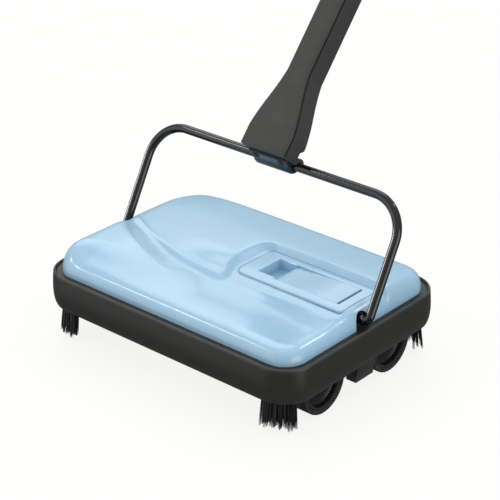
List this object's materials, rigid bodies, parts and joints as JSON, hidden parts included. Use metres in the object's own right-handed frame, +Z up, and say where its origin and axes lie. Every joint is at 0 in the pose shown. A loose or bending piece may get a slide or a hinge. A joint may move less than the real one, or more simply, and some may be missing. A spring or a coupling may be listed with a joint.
{
  "type": "carpet sweeper",
  "caption": "Manual carpet sweeper: low rectangular head with a blue top shell, black bumper, turning brush, dust pans, wire bail and a long push handle.",
  "frame": {"origin": "centre of the whole resting object's footprint box, on the floor", "axes": "+X along the head's long side, +Y from the head towards the person pushing, +Z up"},
  "size_m": [0.29, 0.7434, 0.88],
  "materials": {
    "cover_blue": "glossy light blue moulded shell",
    "bumper_black": "satin charcoal moulding",
    "handle_black": "matt dark olive grey moulding",
    "wire_black": "glossy black coated wire",
    "frame_steel": "dark painted sheet steel",
    "bright_steel": "plated steel",
    "pole_black": "thin tube, black coating",
    "bristle_black": "black nylon bristle",
    "tyre_rubber": "matt black rubber",
    "pan_grey": "dark grey moulding"
  },
  "bodies": {
    "chassis": {"top_cover": "cover_blue", "panel_surround": "cover_blue", "bumper_skirt": "bumper_black", "bail_bracket_left": "bumper_black", "bail_bracket_right": "bumper_black", "deck_plate": "frame_steel", "end_plate_left": "frame_steel", "end_plate_right": "frame_steel", "brush_cowl": "frame_steel", "front_hinge_rod": "bright_steel", "rear_hinge_rod": "bright_steel", "front_pan_spring": "bright_steel", "rear_pan_spring": "bright_steel", "deck_screw_1": "bright_steel", "deck_screw_2": "bright_steel", "deck_screw_3": "bright_steel", "deck_screw_4": "bright_steel", "wheel_axle_front_left": "bright_steel", "wheel_axle_front_right": "bright_steel", "wheel_axle_rear_left": "bright_steel", "wheel_axle_rear_right": "bright_steel", "corner_brush_front_left": "bristle_black", "corner_brush_front_right": "bristle_black", "corner_brush_rear_left": "bristle_black", "corner_brush_rear_right": "bristle_black", "brush_bush_left": "pan_grey", "brush_bush_right": "pan_grey"},
    "handle": {"bail_wire": "wire_black", "handle_socket": "handle_black", "bar_clip": "handle_black", "clip_screw_1": "bright_steel", "clip_screw_2": "bright_steel", "pole_tube_1": "pole_black", "pole_tube_2": "pole_black", "pole_tube_3": "pole_black", "pole_coupler_1": "handle_black", "pole_coupler_2": "handle_black", "hand_grip": "handle_black", "hang_cap": "handle_black"},
    "brush": {"brush_core": "pan_grey", "bristle_strip_1": "bristle_black", "bristle_strip_2": "bristle_black", "bristle_strip_3": "bristle_black", "bristle_strip_4": "bristle_black", "drive_drum_left": "tyre_rubber", "drive_drum_right": "tyre_rubber"},
    "front_pan": {"front_dust_pan": "pan_grey"},
    "rear_pan": {"rear_dust_pan": "pan_grey"},
    "yoke": {"release_yoke": "pan_grey"},
    "paddle": {"release_paddle": "cover_blue"},
    "wheel_front_left": {"wheel_hub_front_left": "bumper_black", "wheel_tyre_front_left": "tyre_rubber"},
    "wheel_front_right": {"wheel_hub_front_right": "bumper_black", "wheel_tyre_front_right": "tyre_rubber"},
    "wheel_rear_left": {"wheel_hub_rear_left": "bumper_black", "wheel_tyre_rear_left": "tyre_rubber"},
    "wheel_rear_right": {"wheel_hub_rear_right": "bumper_black", "wheel_tyre_rear_right": "tyre_rubber"}
  },
  "joints": [
    {"name": "bail_pivot", "type": "hinge", "parent": "chassis", "child": "handle", "pos_m": [0, -0.26521, 0.0692], "axis": [1, 0, 0], "range_deg": [-47, 103]},
    {"name": "brush_spin", "type": "hinge", "parent": "chassis", "child": "brush", "pos_m": [0, -0.26571, 0.026], "axis": [1, 0, 0], "continuous": true},
    {"name": "wheel_front_left_spin", "type": "hinge", "parent": "chassis", "child": "wheel_front_left", "pos_m": [0, -0.31131, 0.0266], "axis": [1, 0, 0], "continuous": true},
    {"name": "wheel_front_right_spin", "type": "hinge", "parent": "chassis", "child": "wheel_front_right", "pos_m": [0, -0.31131, 0.0266], "axis": [1, 0, 0], "continuous": true},
    {"name": "wheel_rear_left_spin", "type": "hinge", "parent": "chassis", "child": "wheel_rear_left", "pos_m": [0, -0.22011, 0.0266], "axis": [1, 0, 0], "continuous": true},
    {"name": "wheel_rear_right_spin", "type": "hinge", "parent": "chassis", "child": "wheel_rear_right", "pos_m": [0, -0.22011, 0.0266], "axis": [1, 0, 0], "continuous": true},
    {"name": "front_pan_open", "type": "hinge", "parent": "chassis", "child": "front_pan", "pos_m": [0, -0.36121, 0.038], "axis": [-1, 0, 0], "range_deg": [0, 40], "stiffness_Nm_per_rad": 0.05, "springref_deg": -68.75},
    {"name": "rear_pan_open", "type": "hinge", "parent": "chassis", "child": "rear_pan", "pos_m": [0, -0.17021, 0.038], "axis": [1, 0, 0], "range_deg": [0, 40], "stiffness_Nm_per_rad": 0.05, "springref_deg": -68.75},
    {"name": "yoke_drop", "type": "slide", "parent": "chassis", "child": "yoke", "axis": [0, 0, -1], "range_m": [0, 0.008]},
    {"name": "paddle_press", "type": "hinge", "parent": "chassis", "child": "paddle", "pos_m": [0.1105, -0.26571, 0.076], "axis": [0, -1, 0], "range_deg": [0, 8]}
  ],
  "couplings": [
    {"joint": "wheel_front_left_spin", "follows": "brush_spin", "ratio": -0.70301},
    {"joint": "wheel_front_right_spin", "follows": "brush_spin", "ratio": -0.70301},
    {"joint": "wheel_rear_left_spin", "follows": "brush_spin", "ratio": -0.70301},
    {"joint": "wheel_rear_right_spin", "follows": "brush_spin", "ratio": -0.70301},
    {"joint": "rear_pan_open", "follows": "front_pan_open", "ratio": 1},
    {"joint": "yoke_drop", "follows": "front_pan_open", "m_per_rad": 0.011458},
    {"joint": "paddle_press", "follows": "front_pan_open", "ratio": 0.2}
  ]
}
